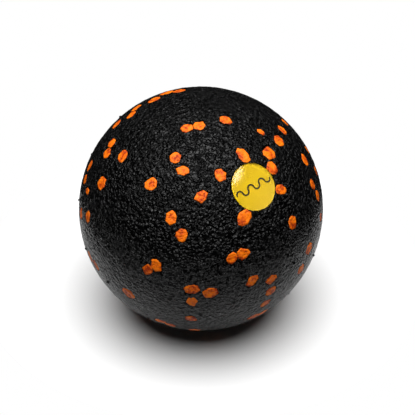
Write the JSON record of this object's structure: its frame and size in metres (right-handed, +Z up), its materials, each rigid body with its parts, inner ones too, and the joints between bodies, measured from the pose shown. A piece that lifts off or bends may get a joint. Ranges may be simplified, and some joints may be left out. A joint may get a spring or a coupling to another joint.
{
  "type": "massage ball",
  "caption": "Round bead-foam massage ball, black with scattered orange beads and a round domed badge set flush in its skin.",
  "frame": {"origin": "centre of the ball", "axes": "+Z up as the ball lies, and the badge faces about -Y (2.2 degrees round toward -X), tilted 41.6 degrees up"},
  "size_m": [0.08, 0.08, 0.08],
  "materials": {
    "black_foam": "satin, finely pebbled moulded foam",
    "orange_foam": "satin, finely pebbled moulded foam",
    "badge_adhesive": "soft acrylic adhesive",
    "badge_film": "smooth printed film",
    "badge_print": "flat ink",
    "badge_dome": "clear, glossy cast resin"
  },
  "bodies": {
    "root": {"foam_body": "black_foam", "orange_beads_upper_front": "orange_foam", "orange_beads_upper_front_right": "orange_foam", "orange_beads_upper_right": "orange_foam", "orange_beads_upper_back_right": "orange_foam", "orange_beads_upper_back": "orange_foam", "orange_beads_upper_back_left": "orange_foam", "orange_beads_upper_left": "orange_foam", "orange_beads_upper_front_left": "orange_foam", "orange_beads_middle_front": "orange_foam", "orange_beads_middle_front_right": "orange_foam", "orange_beads_middle_right": "orange_foam", "orange_beads_middle_back_right": "orange_foam", "orange_beads_middle_back": "orange_foam", "orange_beads_middle_back_left": "orange_foam", "orange_beads_middle_left": "orange_foam", "orange_beads_middle_front_left": "orange_foam", "orange_beads_lower_front": "orange_foam", "orange_beads_lower_front_right": "orange_foam", "orange_beads_lower_right": "orange_foam", "orange_beads_lower_back_right": "orange_foam", "orange_beads_lower_back": "orange_foam", "orange_beads_lower_back_left": "orange_foam", "orange_beads_lower_left": "orange_foam", "orange_beads_lower_front_left": "orange_foam", "badge_adhesive": "badge_adhesive", "badge_film": "badge_film", "badge_print": "badge_print", "badge_dome": "badge_dome"}
  },
  "joints": []
}
